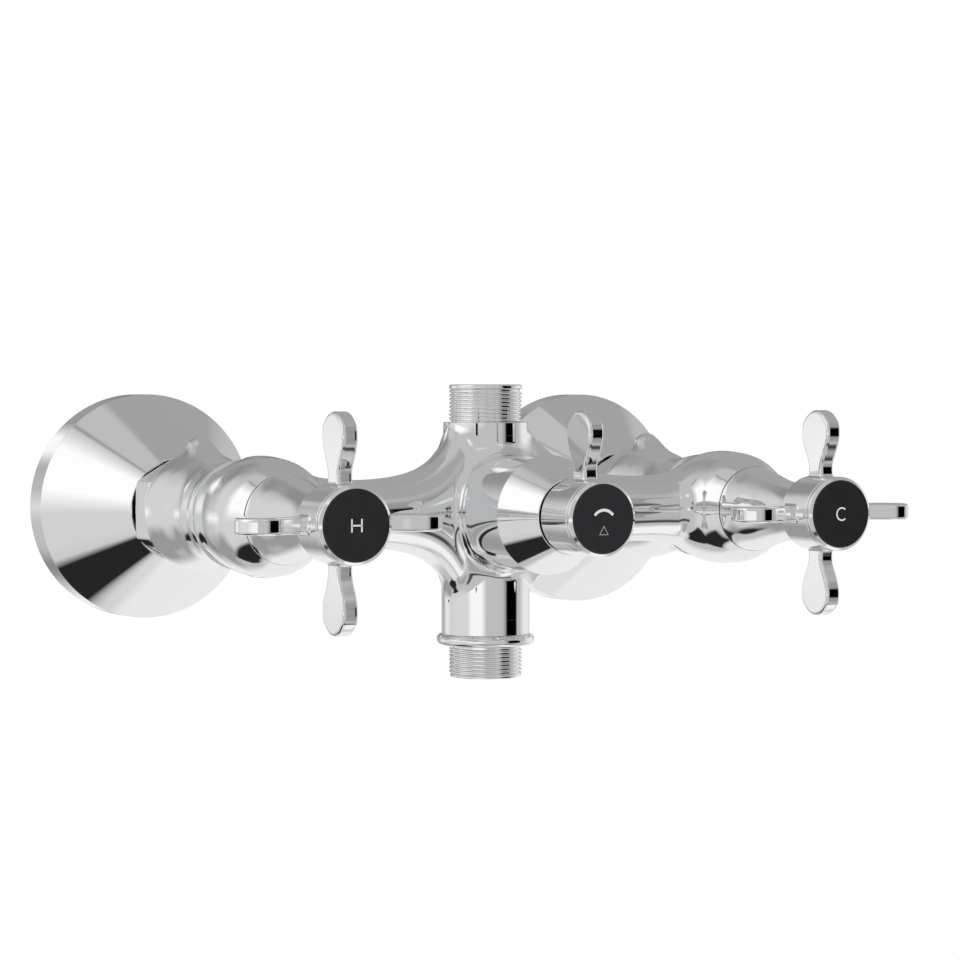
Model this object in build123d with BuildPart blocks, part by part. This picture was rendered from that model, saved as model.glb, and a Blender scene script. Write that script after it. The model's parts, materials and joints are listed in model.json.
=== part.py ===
from build123d import *
from math import cos, exp, radians, sqrt, tan
import os

# Exposed two-handle shower mixer with a diverter, all sizes in millimetres.
# Frame: X along the wall towards the cold side, Y into the wall, Z up. The
# origin is on the wall, midway between the two inlets. Turned parts are drawn
# as (radius, reach), where reach is the distance out from the wall.

# Layout
inlet_centres = 150.0
column_reach = 84.1
seam = 82.4
arm_past_seam = 10.1
arm_reach = seam + arm_past_seam
valve_x = inlet_centres / 2

# Fits
thread_gap = 0.08
running_gap = 0.05
face_gap = 0.1
loose_gap = 0.3
cut_past = 1.0

# Wall unions: a pipe thread into the wall and a thread for the swivel nut
pipe_thread_r = 10.48
pipe_thread_length = 14.0
union_r = 12.0
union_bore_r = 7.5
union_face = 40.0

# Wall flanges: spun shells with a cylindrical rim and a straight cone
flange_r = 33.5
flange_rim = 9.6
flange_nose_r = 15.0
flange_nose = 35.0
flange_wall = 1.2

# Swivel nuts
nut_flats = 28.6
nut_back = 36.7
nut_front = 48.0
nut_lip = 3.4
nut_chamfer = 1.6

# Flat washers between the wall unions and the inlet necks
washer_thickness = 2.0
washer_r = 11.4

# Inlet necks: a bulb in front of the nut, with a domed boss on top
neck_flange_r = 11.6
neck_shank_r = 10.2
neck_bulb_r = 17.2
bulb_back_r = 3.6
neck_waist_r = 14.0
neck_waist_length = 15.4
neck_waist_reach = seam - neck_waist_length
neck_collar_r = 15.2
neck_collar_length = 2.0
neck_collar = seam - neck_collar_length
neck_bore_r = 7.0
boss_reach = 50.5
boss_top = 21.4
boss_tip_r = 2.6
boss_half_angle = 32.0
boss_width = 6.6
boss_crown = 0.8
collar_lean = 0.12

# Body casting
seam_groove = 0.5
neck_room = 6.0
spigot_r = 9.0
spigot_length = 3.2
neck_seal_thickness = 0.8
housing_r = 16.4
housing_swell = 14.6
housing_reach = seam + housing_swell
housing_rise_r = 16.05
housing_shoulder = 8.1
housing_rise = seam + housing_shoulder
housing_fall_r = 14.8
housing_fall = 4.2
housing_mouth_r = 12.4
collar_land = 1.8
column_top_r = 12.15
column_top = 25.5
column_taper = 12.0
column_lead = 1.0
column_edge = 0.5
column_r = 12.67
column_bottom = 35.6
diverter_housing_r = 16.2
arm_r = 9.2

# Flares of the arms: into the column, and the lesser swell into the housings
flare_height = 13.0
flare_depth = 1.6
flare_length = 9.5
flare_power = 1.1
flare_past_column = 2.1
flare_reach = column_reach + flare_past_column
swell_height = 5.2
swell_depth = 3.0
swell_length = 15.0

# Waterways
chamber_wall = 2.8
chamber_r = housing_mouth_r - chamber_wall
arm_bore_r = 4.0
outlet_bore_r = 6.0
outlet_split = 2.0
diverter_chamber_r = 11.0
feed_port_r = 1.7
feed_port_offset = 8.8
feed_wall = 1.0
feed_overrun = 0.6

# Outlet nipples
nipple_spigot_r = 9.4
nipple_spigot_length = 11.0
top_thread_end = 36.3
bottom_thread_end = 48.0
bead_r = 14.1
bead_thickness = 3.2
nipple_lead = 0.6

# Cartridges: a ceramic fixed disc and moving disc in a brass body
seal_thickness = 2.6
fixed_disc_thickness = 3.2
moving_disc_thickness = 3.0
barrel_gap = 1.0
barrel_wall = 1.4
disc_gap = 0.2
barrel_r = chamber_r - barrel_gap
disc_cup_r = barrel_r - barrel_wall
disc_r = disc_cup_r - disc_gap
seal_r = disc_r
seal_width = 1.5
inlet_bore_r = seal_r - seal_width
port_r = 2.2
port_wall = 0.4
port_offset = disc_r - port_wall - port_r
carrier_thickness = 2.4
cartridge_flange_thickness = 2.0
cartridge_lip = 1.6
cartridge_lift = 1.0
cartridge_thread_length = 6.0
cartridge_neck_r = 6.2
window_width = 6.0
window_height = 4.0
spindle_r = 3.5
spindle_runout = 1.0
o_ring_section = 1.6
o_ring_depth = 2.0

# Bonnets: the bells' outline as (fall from the housing's mouth, distance in front of it)
bell_waist = ((1.5, 6.5), (3.1, 13.0), (4.2, 19.5))
bell_fall = 4.3
bell_front_r = housing_mouth_r - bell_fall
bell_lean = -0.42
bell_back = 4.0
bell_throat = 2.6
cone_rim_r = 16.6
cone_rim = 1.0
cone_rim_edge = 0.3
cone_edge = 0.2
cone_front_r = 10.5
cone_front_gap = 0.9
cone_front_wall = 1.5
cone_back_wall = 2.0

# Handles
hub_pocket_gap = 0.6
hub_pocket_r = bell_front_r + hub_pocket_gap
hub_pocket_depth = 2.0
hub_wall = 1.7
hub_r = hub_pocket_r + hub_wall
hub_edge = 0.5
ring_length = 1.9
ring_gap = 0.15
ring_wall = 1.05
cap_r = hub_r - ring_wall
ring_step = 0.45
ring_edge = 0.5
cap_thickness = 1.2
cap_stand = 0.3
cap_edge = 0.25
ear_tip = 29.0
ear_end = 27.0
ear_end_width = 9.0
ear_lobe = 22.6
ear_lobe_width = 12.5
ear_shoulder = 18.2
ear_shoulder_width = 9.2
ear_neck = 13.0
ear_neck_width = 5.4
ear_root = 8.4
ear_root_width = 6.4
ear_thickness = 4.5
ear_edge = 1.1
ear_reach_back = 10.0

# Handle screws
screw_r = 1.95
screw_head_r = 3.5
screw_head = 1.8
screw_length = 9.0
screw_edge = 0.3
screw_socket = 2.5
screw_socket_depth = 1.2
screw_well_r = 4.4
screw_well_depth = 3.2


class Valve:
    """One handle axis, with the reaches at which its parts sit, counted from its seat."""

    def __init__(self, name, x, seat, chamber, lengths, turns):
        land, hub_back, face = lengths
        self.name = name
        self.x = x
        self.seat = seat
        self.land = seat + land
        self.chamber = chamber
        self.hub_back = seat + hub_back
        self.face = seat + face
        self.turns = turns
        self.plane = Plane(origin=(x, 0, 0), x_dir=(1, 0, 0), z_dir=(0, 0, -1))
        self.axis = Axis((x, 0, 0), (0, -1, 0))
        self.disc_back = seat + seal_thickness
        self.disc_joint = self.disc_back + fixed_disc_thickness + face_gap / 2
        self.carrier = self.disc_joint + moving_disc_thickness
        self.cup_roof = self.carrier + carrier_thickness + face_gap
        self.flange_front = self.land + cartridge_flange_thickness
        self.ring_back = self.face - cap_stand - ring_length
        self.neck_front = self.hub_back + hub_pocket_depth - loose_gap
        self.well_floor = self.ring_back - screw_well_depth


# The ears stand at these angles, measured round from straight up
cross = (0, 90, 180, 270)
lever = (0,)

# From a seat to the housing's front, the back of the handle and the face of its cap
side_lengths = (22.5, 51.5, 66.2)
diverter_lengths = (23.2, 37.5, 53.7)

seat_past_seam = 6.1
side_seat = seam + seat_past_seam
diverter_seat = arm_reach + arm_bore_r + feed_wall
hot = Valve("hot", -valve_x, side_seat, chamber_r, side_lengths, cross)
cold = Valve("cold", valve_x, side_seat, chamber_r, side_lengths, cross)
diverter = Valve("diverter", 0.0, diverter_seat, diverter_chamber_r, diverter_lengths, lever)
inlets = (hot, cold)
valves = (hot, cold, diverter)

# The arms' oval sections stand at these shares of the way to the valves
arm_shares = (0.12, 0.165, 0.2, 0.24, 0.28, 0.335, 0.4, 0.48, 0.57, 0.665, 0.745, 0.815, 0.88)
arm_stations = [valve_x * share for share in arm_shares]

column_plane = Plane(origin=(0, -column_reach, 0), x_dir=(1, 0, 0), z_dir=(0, -1, 0))
column_axis = Axis((0, -column_reach, 0), (0, 0, 1))


def across(valve, reach):
    """The plane square to a valve's axis at a reach, facing out from the wall."""
    return Plane(origin=(valve.x, -reach, 0), x_dir=(1, 0, 0), z_dir=(0, -1, 0))


def level(height):
    """The horizontal plane through the column at a height."""
    return Plane(origin=(0, -column_reach, height), x_dir=(1, 0, 0), z_dir=(0, 0, 1))


def finish(piece, node):
    """Label a finished piece and write it to its own file."""
    piece.part.label = node
    export_step(piece.part, f"parts/{node}.step")


def make_wall_union(valve):
    """A straight connector: pipe thread behind the wall face, nut thread in front."""
    with BuildPart() as wall_union:
        with BuildSketch(valve.plane):
            with BuildLine():
                Polyline(
                    (union_bore_r, -pipe_thread_length),
                    (pipe_thread_r, -pipe_thread_length),
                    (pipe_thread_r, 0),
                    (union_r, 0),
                    (union_r, union_face),
                    (union_bore_r, union_face),
                    close=True,
                )
            make_face()
        revolve(axis=valve.axis)
    finish(wall_union, f"{valve.name}_wall_union")


def make_flange(valve):
    """A spun shell, open at the wall, with a nose that slides on the union."""
    slope = sqrt((flange_r - flange_nose_r) ** 2 + (flange_nose - flange_rim) ** 2)
    inset = flange_wall * slope / (flange_nose - flange_rim)
    taper = (flange_r - flange_nose_r) / (flange_nose - flange_rim)
    nose_inside = flange_nose - flange_wall
    inner_r = flange_r - flange_wall
    inner_rim = flange_rim + (flange_wall - inset) / taper
    bore_r = union_r + loose_gap
    with BuildPart() as flange:
        with BuildSketch(valve.plane):
            with BuildLine():
                Polyline(
                    (inner_r, 0),
                    (flange_r, 0),
                    (flange_r, flange_rim),
                    (flange_nose_r, flange_nose),
                    (bore_r, flange_nose),
                    (bore_r, nose_inside),
                    (flange_r - inset - taper * (nose_inside - flange_rim), nose_inside),
                    (inner_r, inner_rim),
                    close=True,
                )
            make_face()
        revolve(axis=valve.axis)
    finish(flange, f"{valve.name}_flange")


def make_union_nut(valve):
    """A hexagon with flats to the sides, threaded behind and lipped in front."""
    lip_back = nut_front - nut_lip
    corner_r = nut_flats / 2 / cos(radians(30))
    with BuildPart() as nut:
        with BuildSketch(across(valve, nut_back)):
            RegularPolygon(radius=corner_r, side_count=6, rotation=30)
        extrude(amount=nut_front - nut_back)
        with BuildSketch(valve.plane):
            with BuildLine():
                Polyline(
                    (0, nut_back),
                    (corner_r - nut_chamfer, nut_back),
                    (corner_r, nut_back + nut_chamfer / 2),
                    (corner_r, nut_front - nut_chamfer / 2),
                    (corner_r - nut_chamfer, nut_front),
                    (0, nut_front),
                    close=True,
                )
            make_face()
        revolve(axis=valve.axis, mode=Mode.INTERSECT)
        with BuildSketch(across(valve, nut_back)):
            Circle(union_r + thread_gap)
        extrude(amount=lip_back - nut_back, mode=Mode.SUBTRACT)
        with BuildSketch(across(valve, lip_back)):
            Circle(neck_shank_r + loose_gap)
        extrude(amount=nut_lip, mode=Mode.SUBTRACT)
    finish(nut, f"{valve.name}_union_nut")


def make_union_washer(valve):
    """A flat rubber ring, squeezed between the union and the inlet neck."""
    with BuildPart() as washer:
        with BuildSketch(across(valve, union_face)):
            Circle(washer_r)
            Circle(union_bore_r, mode=Mode.SUBTRACT)
        extrude(amount=washer_thickness)
    finish(washer, f"{valve.name}_union_washer")


def make_inlet_neck(valve):
    """The bulb between nut and body, with its domed boss and threaded spigot."""
    flange_back = union_face + washer_thickness
    flange_front = nut_front - nut_lip
    spigot_front = seam + spigot_length
    shoulder = nut_front + face_gap
    clear_r = nut_flats / 2 / cos(radians(30)) + loose_gap
    foot = neck_bulb_r / 2
    foot_r = boss_tip_r + tan(radians(boss_half_angle)) * (boss_top - foot)
    crown_r = (boss_tip_r**2 + boss_crown**2) / (2 * boss_crown)
    crown_drop = crown_r - sqrt(crown_r**2 - (boss_tip_r / 2) ** 2)
    crown_middle = (boss_tip_r / 2, boss_top - crown_drop)
    boss_plane = Plane(origin=(valve.x, -boss_reach, 0), x_dir=(1, 0, 0), z_dir=(0, -1, 0))
    with BuildPart() as boss:
        with BuildSketch(boss_plane):
            with BuildLine():
                Polyline(
                    (0, boss_top),
                    (0, foot),
                    (foot_r, foot),
                    (boss_tip_r, boss_top - boss_crown),
                )
                ThreePointArc((boss_tip_r, boss_top - boss_crown), crown_middle, (0, boss_top))
            make_face()
        revolve(axis=Axis((valve.x, -boss_reach, 0), (0, 0, 1)))
        with BuildSketch(boss_plane):
            with Locations((0, boss_top / 2)):
                Rectangle(boss_width, boss_top)
        extrude(amount=foot_r, both=True, mode=Mode.INTERSECT)
        with BuildSketch(across(valve, 0)):
            Circle(clear_r)
        extrude(amount=shoulder, mode=Mode.SUBTRACT)
    with BuildPart() as neck:
        with BuildSketch(valve.plane):
            with BuildLine():
                Polyline(
                    (neck_collar_r, seam),
                    (spigot_r, seam),
                    (spigot_r, spigot_front),
                    (0, spigot_front),
                    (0, flange_back),
                    (neck_flange_r, flange_back),
                    (neck_flange_r, flange_front),
                    (neck_shank_r, flange_front),
                    (neck_shank_r, shoulder),
                    (neck_bulb_r - bulb_back_r, shoulder),
                )
                JernArc(
                    start=(neck_bulb_r - bulb_back_r, shoulder),
                    tangent=(1, 0),
                    radius=bulb_back_r,
                    arc_size=90,
                )
                Spline(
                    (neck_bulb_r, shoulder + bulb_back_r),
                    (neck_waist_r, neck_waist_reach),
                    (neck_collar_r, neck_collar),
                    tangents=((0, 1), (collar_lean, 1)),
                )
                Line((neck_collar_r, neck_collar), (neck_collar_r, seam))
            make_face()
        revolve(axis=valve.axis)
        add(boss.part)
        with BuildSketch(across(valve, flange_back)):
            Circle(neck_bore_r)
        extrude(amount=spigot_front - flange_back, mode=Mode.SUBTRACT)
    finish(neck, f"{valve.name}_inlet_neck")


def make_neck_seal(valve):
    """A thin sealing ring between the neck's spigot and the body's socket."""
    with BuildPart() as seal:
        with BuildSketch(across(valve, seam + spigot_length)):
            Circle(spigot_r - loose_gap)
            Circle(neck_bore_r, mode=Mode.SUBTRACT)
        extrude(amount=neck_seal_thickness)
    finish(seal, f"{valve.name}_neck_seal")


def arm_section(x):
    """Half height, half depth and reach of an arm, at a distance from the column."""
    out = (max(x - column_r, 0.0) / flare_length) ** flare_power
    near = exp(-out)
    swell = exp(-(((valve_x - x) / swell_length) ** 2))
    half_height = arm_r + flare_height * near + swell_height * swell
    half_depth = arm_r + flare_depth * near + swell_depth * swell
    return half_height, half_depth, arm_reach - (arm_reach - flare_reach) * near


def make_body():
    """The casting: a column, two flared arms, two valve housings and the diverter's."""
    socket_depth = spigot_length + neck_seal_thickness
    arm_bore_end = feed_port_offset - feed_port_r - feed_overrun
    with BuildPart() as body:
        # Arm to the cold side with a core through the column, then its mirror image
        for x in arm_stations:
            height, depth, reach = arm_section(x)
            with BuildSketch(Plane(origin=(x, -reach, 0), x_dir=(0, 1, 0), z_dir=(1, 0, 0))):
                Ellipse(depth, height)
        loft()
        height, depth, reach = arm_section(arm_stations[0])
        with BuildSketch(Plane(origin=(0, -reach, 0), x_dir=(0, 1, 0), z_dir=(1, 0, 0))):
            Ellipse(depth, height)
        extrude(amount=arm_stations[0])
        mirror(about=Plane.YZ)
        # Room behind the seam for the necks' collars
        for valve in inlets:
            with BuildSketch(across(valve, seam - neck_room)):
                Circle(neck_collar_r + neck_room)
            extrude(amount=neck_room, mode=Mode.SUBTRACT)
        # Column
        with BuildSketch(column_plane):
            with BuildLine():
                Polyline(
                    (0, -column_bottom),
                    (column_r, -column_bottom),
                    (column_r, 0),
                    (column_r, column_taper),
                    (column_top_r, column_top - column_lead),
                    (column_top_r - column_edge, column_top),
                    (0, column_top),
                    close=True,
                )
            make_face()
        revolve(axis=column_axis)
        # Diverter housing
        with BuildSketch(across(diverter, column_reach)):
            Circle(diverter_housing_r)
        extrude(amount=diverter.land - column_reach)
        # Valve housings
        for valve in inlets:
            with BuildSketch(valve.plane):
                with BuildLine():
                    Polyline(
                        (housing_mouth_r, valve.land),
                        (0, valve.land),
                        (0, seam),
                        (neck_collar_r - seam_groove, seam),
                        (neck_collar_r, seam + seam_groove),
                        (neck_collar_r, seam + collar_land),
                    )
                    Spline(
                        (neck_collar_r, seam + collar_land),
                        (housing_rise_r, housing_rise),
                        (housing_r, housing_reach),
                        (housing_fall_r, valve.land - housing_fall),
                        (housing_mouth_r, valve.land),
                        tangents=((0.2, 1), (-1, 1)),
                    )
                make_face()
            revolve(axis=valve.axis)
        # Inlet bores, sockets for the necks and cartridge chambers
        for valve in inlets:
            with BuildSketch(across(valve, seam)):
                Circle(spigot_r + thread_gap)
            extrude(amount=socket_depth, mode=Mode.SUBTRACT)
            with BuildSketch(across(valve, seam)):
                Circle(inlet_bore_r)
            extrude(amount=valve.seat - seam, mode=Mode.SUBTRACT)
        for valve in valves:
            with BuildSketch(across(valve, valve.seat)):
                Circle(valve.chamber)
            extrude(amount=valve.land - valve.seat, mode=Mode.SUBTRACT)
        # Arm bores from the valve chambers to the feed ports of the diverter
        for side in (-1, 1):
            arm_end = Plane(origin=(side * arm_bore_end, -arm_reach, 0), x_dir=(0, 1, 0), z_dir=(side, 0, 0))
            with BuildSketch(arm_end):
                Circle(arm_bore_r)
            extrude(amount=valve_x - chamber_r + cut_past - arm_bore_end, mode=Mode.SUBTRACT)
        with BuildSketch(across(diverter, arm_reach)):
            with Locations((feed_port_offset, 0), (-feed_port_offset, 0)):
                Circle(feed_port_r)
        extrude(amount=diverter.seat - arm_reach, mode=Mode.SUBTRACT)
        # Outlet bores up and down, with their ports to the diverter's seat
        with BuildSketch(level(outlet_split)):
            Circle(outlet_bore_r)
        extrude(amount=column_top - outlet_split, mode=Mode.SUBTRACT)
        with BuildSketch(level(-column_bottom)):
            Circle(outlet_bore_r)
        extrude(amount=column_bottom - outlet_split, mode=Mode.SUBTRACT)
        with BuildSketch(across(diverter, column_reach)):
            with Locations((0, port_offset), (0, -port_offset)):
                Circle(port_r)
        extrude(amount=diverter.seat - column_reach, mode=Mode.SUBTRACT)
        # Sockets for the outlet nipples
        with BuildSketch(level(column_top - nipple_spigot_length)):
            Circle(nipple_spigot_r + thread_gap)
        extrude(amount=nipple_spigot_length, mode=Mode.SUBTRACT)
        with BuildSketch(level(-column_bottom)):
            Circle(nipple_spigot_r + thread_gap)
        extrude(amount=nipple_spigot_length, mode=Mode.SUBTRACT)
    finish(body, "body")


def make_top_nipple():
    """The upper outlet: a pipe thread above a spigot screwed into the column."""
    with BuildPart() as nipple:
        with BuildSketch(column_plane):
            with BuildLine():
                Polyline(
                    (outlet_bore_r, column_top - nipple_spigot_length + face_gap),
                    (nipple_spigot_r, column_top - nipple_spigot_length + face_gap),
                    (nipple_spigot_r, column_top),
                    (pipe_thread_r, column_top),
                    (pipe_thread_r, top_thread_end - nipple_lead),
                    (pipe_thread_r - nipple_lead, top_thread_end),
                    (outlet_bore_r, top_thread_end),
                    close=True,
                )
            make_face()
        revolve(axis=column_axis)
    finish(nipple, "top_outlet_nipple")


def make_bottom_nipple():
    """The lower outlet: a beaded flange between the column and its pipe thread."""
    bead_bottom = column_bottom + bead_thickness
    with BuildPart() as nipple:
        with BuildSketch(column_plane):
            with BuildLine():
                Polyline(
                    (bead_r - bead_thickness / 2, -column_bottom),
                    (nipple_spigot_r, -column_bottom),
                    (nipple_spigot_r, nipple_spigot_length - face_gap - column_bottom),
                    (outlet_bore_r, nipple_spigot_length - face_gap - column_bottom),
                    (outlet_bore_r, -bottom_thread_end),
                    (pipe_thread_r - nipple_lead, -bottom_thread_end),
                    (pipe_thread_r, nipple_lead - bottom_thread_end),
                    (pipe_thread_r, -bead_bottom),
                    (bead_r - bead_thickness / 2, -bead_bottom),
                )
                ThreePointArc(
                    (bead_r - bead_thickness / 2, -bead_bottom),
                    (bead_r, -column_bottom - bead_thickness / 2),
                    (bead_r - bead_thickness / 2, -column_bottom),
                )
            make_face()
        revolve(axis=column_axis)
    finish(nipple, "bottom_outlet_nipple")


def make_seat_seal(valve):
    """A rubber ring under the fixed disc; the diverter's has one hole per port."""
    with BuildPart() as seal:
        with BuildSketch(across(valve, valve.seat)):
            Circle(seal_r)
            if valve is diverter:
                with Locations((0, port_offset), (0, -port_offset)):
                    Circle(port_r, mode=Mode.SUBTRACT)
            else:
                Circle(inlet_bore_r, mode=Mode.SUBTRACT)
        extrude(amount=seal_thickness)
    finish(seal, f"{valve.name}_seat_seal")


def make_fixed_disc(valve):
    """The lower ceramic disc: two round ports, one above and one below."""
    with BuildPart() as disc:
        with BuildSketch(across(valve, valve.disc_back)):
            Circle(disc_r)
            with Locations((0, port_offset), (0, -port_offset)):
                Circle(port_r, mode=Mode.SUBTRACT)
        extrude(amount=fixed_disc_thickness)
    finish(disc, f"{valve.name}_fixed_disc")


def make_moving_disc(valve):
    """The upper ceramic disc, cut away on both sides to uncover the ports."""
    with BuildPart() as disc:
        with BuildSketch(across(valve, valve.disc_joint)):
            Circle(disc_r - running_gap)
            with Locations((disc_r, 0), (-disc_r, 0)):
                Circle(port_offset, mode=Mode.SUBTRACT)
        extrude(amount=moving_disc_thickness)
    finish(disc, f"{valve.name}_moving_disc")


def make_cartridge(valve):
    """The brass body: disc cup with side windows, flange on the land, long neck."""
    cup_front = valve.cup_roof
    cup_back = valve.seat + cartridge_lift
    thread_back = valve.land - cartridge_thread_length
    flange_edge = valve.chamber + cartridge_lip
    neck_front = valve.neck_front
    with BuildPart() as cartridge:
        with BuildSketch(valve.plane):
            with BuildLine():
                Polyline(
                    (disc_cup_r, cup_back),
                    (barrel_r, cup_back),
                    (barrel_r, thread_back),
                    (valve.chamber - thread_gap, thread_back),
                    (valve.chamber - thread_gap, valve.land),
                    (flange_edge, valve.land),
                    (flange_edge, valve.flange_front),
                    (cartridge_neck_r, valve.flange_front),
                    (cartridge_neck_r, neck_front),
                    (spindle_r + running_gap, neck_front),
                    (spindle_r + running_gap, cup_front),
                    (disc_cup_r, cup_front),
                    close=True,
                )
            make_face()
        revolve(axis=valve.axis)
        window_reach = valve.disc_joint + window_height / 2
        window_plane = Plane(origin=(valve.x, -window_reach, 0), x_dir=(0, 1, 0), z_dir=(1, 0, 0))
        with BuildSketch(window_plane):
            Rectangle(window_height, window_width)
        extrude(amount=barrel_r + cut_past, both=True, mode=Mode.SUBTRACT)
        groove = (valve.chamber - o_ring_section / 2, valve.land - o_ring_depth - o_ring_section / 2)
        with BuildSketch(valve.plane):
            with Locations(groove):
                Rectangle(o_ring_section, o_ring_section)
        revolve(axis=valve.axis, mode=Mode.SUBTRACT)
    finish(cartridge, f"{valve.name}_cartridge_body")


def make_o_ring(valve):
    """The ring in the cartridge's groove that seals it in the chamber."""
    reach = valve.land - o_ring_depth - o_ring_section / 2
    ring_r = o_ring_section / 2 - face_gap / 2
    with BuildPart() as ring:
        with BuildSketch(valve.plane):
            with Locations((valve.chamber - ring_r - thread_gap / 2, reach)):
                Circle(ring_r)
        revolve(axis=valve.axis)
    finish(ring, f"{valve.name}_o_ring")


def make_spindle(valve):
    """The stem: a carrier flange that drives the moving disc, and a tapped end."""
    stem_end = valve.well_floor
    tap_end = stem_end - screw_length - spindle_runout
    with BuildPart() as spindle:
        with BuildSketch(valve.plane):
            with BuildLine():
                Polyline(
                    (0, valve.carrier),
                    (disc_r - running_gap, valve.carrier),
                    (disc_r - running_gap, valve.carrier + carrier_thickness),
                    (spindle_r, valve.carrier + carrier_thickness),
                    (spindle_r, stem_end),
                    (screw_r + running_gap, stem_end),
                    (screw_r + running_gap, tap_end),
                    (0, tap_end),
                    close=True,
                )
            make_face()
        revolve(axis=valve.axis)
    finish(spindle, f"{valve.name}_spindle")


def make_bell_bonnet(valve):
    """A hollow bell that runs on from the housing and narrows to the handle."""
    back_wall_r = valve.chamber + cartridge_lip + loose_gap
    front = valve.neck_front - loose_gap
    waist = [(housing_mouth_r - fall, valve.land + distance) for fall, distance in bell_waist]
    with BuildPart() as bonnet:
        with BuildSketch(valve.plane):
            with BuildLine():
                Spline(
                    (housing_mouth_r, valve.land),
                    *waist,
                    (bell_front_r, front),
                    tangents=((bell_lean, 1), (0, 1)),
                )
                Polyline(
                    (bell_front_r, front),
                    (cartridge_neck_r + running_gap, front),
                    (cartridge_neck_r + running_gap, valve.flange_front + bell_back),
                    (back_wall_r - bell_throat, valve.flange_front + running_gap),
                    (back_wall_r, valve.flange_front + running_gap),
                    (back_wall_r, valve.land),
                    (housing_mouth_r, valve.land),
                )
            make_face()
        revolve(axis=valve.axis)
    finish(bonnet, f"{valve.name}_bonnet")


def make_cone_bonnet(valve):
    """The diverter's bonnet: a crisp rim, a straight cone and a plain nose."""
    back_wall_r = valve.chamber + cartridge_lip + loose_gap
    front = valve.hub_back - cone_front_gap
    rim_front = valve.land + cone_rim
    with BuildPart() as bonnet:
        with BuildSketch(valve.plane):
            with BuildLine():
                Polyline(
                    (back_wall_r, valve.land),
                    (cone_rim_r - cone_rim_edge, valve.land),
                    (cone_rim_r, valve.land + cone_rim_edge),
                    (cone_rim_r, rim_front - cone_rim_edge),
                    (cone_rim_r - cone_edge, rim_front),
                    (cone_front_r + cone_edge, front - cone_edge),
                    (cone_front_r - cone_edge, front),
                    (hub_pocket_r - loose_gap, front),
                    (hub_pocket_r - loose_gap, valve.neck_front - loose_gap),
                    (cartridge_neck_r + running_gap, valve.neck_front - loose_gap),
                    (cartridge_neck_r + running_gap, front - cone_front_wall),
                    (back_wall_r, valve.flange_front + cone_back_wall),
                    close=True,
                )
            make_face()
        revolve(axis=valve.axis)
    finish(bonnet, f"{valve.name}_bonnet")


def make_handle(valve):
    """Hub and teardrop ears in one casting, bored for the spindle and its screw."""
    front = valve.ring_back - ring_gap
    ear_plane = Plane(origin=(valve.x, 0, 0), x_dir=(0, -1, 0), z_dir=(-1, 0, 0))
    middle = valve.face - ear_reach_back
    root = ear_root_width / 2
    neck = ear_neck_width / 2
    shoulder = ear_shoulder_width / 2
    lobe = ear_lobe_width / 2
    end = ear_end_width / 2
    with BuildPart() as ear:
        with BuildSketch(ear_plane):
            with BuildLine():
                Polyline(
                    (middle + neck, ear_neck),
                    (middle + root, ear_root),
                    (middle - root, ear_root),
                    (middle - neck, ear_neck),
                )
                Spline(
                    (middle - neck, ear_neck),
                    (middle - shoulder, ear_shoulder),
                    (middle - lobe, ear_lobe),
                    (middle - end, ear_end),
                    (middle, ear_tip),
                    (middle + end, ear_end),
                    (middle + lobe, ear_lobe),
                    (middle + shoulder, ear_shoulder),
                    (middle + neck, ear_neck),
                    tangents=((0, 1), (0, -1)),
                )
            make_face()
        extrude(amount=ear_thickness / 2, both=True)
        faces = ear.faces().filter_by(Axis.X)
        fillet(faces.edges(), radius=ear_edge)
    with BuildPart() as handle:
        with BuildSketch(valve.plane):
            with BuildLine():
                Polyline(
                    (spindle_r + running_gap, valve.hub_back + hub_pocket_depth),
                    (hub_pocket_r, valve.hub_back + hub_pocket_depth),
                    (hub_pocket_r, valve.hub_back),
                    (hub_r - hub_edge, valve.hub_back),
                    (hub_r, valve.hub_back + hub_edge),
                    (hub_r, front),
                    (screw_well_r, front),
                    (screw_well_r, valve.well_floor),
                    (spindle_r + running_gap, valve.well_floor),
                    close=True,
                )
            make_face()
        revolve(axis=valve.axis)
        for turn in valve.turns:
            add(ear.part.rotate(valve.axis, turn))
        with BuildSketch(across(valve, valve.hub_back)):
            Circle(spindle_r + running_gap)
        extrude(amount=valve.well_floor - valve.hub_back, mode=Mode.SUBTRACT)
    finish(handle, f"{valve.name}_handle")


def make_index_ring(valve):
    """The bright rim round the cap, with a fine step, pressed on the hub."""
    front = valve.face - cap_stand
    cap_seat = valve.face - cap_thickness
    with BuildPart() as ring:
        with BuildSketch(valve.plane):
            with BuildLine():
                Polyline(
                    (screw_well_r - loose_gap, valve.ring_back - ring_gap),
                    (hub_r - ring_step, valve.ring_back - ring_gap),
                    (hub_r - ring_step, valve.ring_back),
                    (hub_r, valve.ring_back),
                    (hub_r, front - ring_edge),
                    (hub_r - ring_edge, front),
                    (cap_r + running_gap, front),
                    (cap_r + running_gap, cap_seat),
                    (screw_well_r - loose_gap, cap_seat),
                    close=True,
                )
            make_face()
        revolve(axis=valve.axis)
    finish(ring, f"{valve.name}_index_ring")


def make_index_cap(valve):
    """The black disc in the rim, with a slightly eased edge."""
    back = valve.face - cap_thickness
    with BuildPart() as cap:
        with BuildSketch(valve.plane):
            with BuildLine():
                Polyline(
                    (0, back),
                    (cap_r, back),
                    (cap_r, valve.face - cap_edge),
                    (cap_r - cap_edge, valve.face),
                    (0, valve.face),
                    close=True,
                )
            make_face()
        revolve(axis=valve.axis)
    finish(cap, f"{valve.name}_index_cap")


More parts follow.
